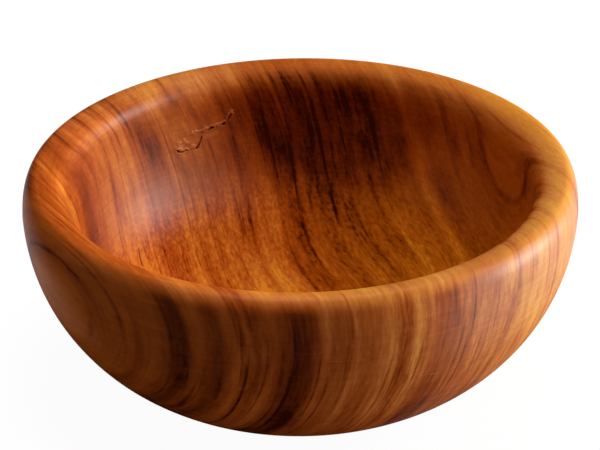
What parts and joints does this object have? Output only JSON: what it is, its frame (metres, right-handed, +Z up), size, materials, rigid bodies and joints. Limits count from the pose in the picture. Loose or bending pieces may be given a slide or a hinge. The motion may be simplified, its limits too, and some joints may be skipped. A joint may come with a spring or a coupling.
{
  "type": "bowl",
  "caption": "Round turned wooden bowl with a thick rolled lip, a full curved wall and a flat foot, for serving or holding small things.",
  "frame": {"origin": "centre of the foot, on the plane that the bowl stands on", "axes": "+Z up along the turning axis, out of the mouth; +X to the right and +Y away from the viewer of the picture"},
  "size_m": [0.15, 0.15, 0.061],
  "materials": {
    "oiled_hardwood": "satin oil over striped red-brown hardwood"
  },
  "bodies": {
    "root": {"bowl": "oiled_hardwood"}
  },
  "joints": []
}
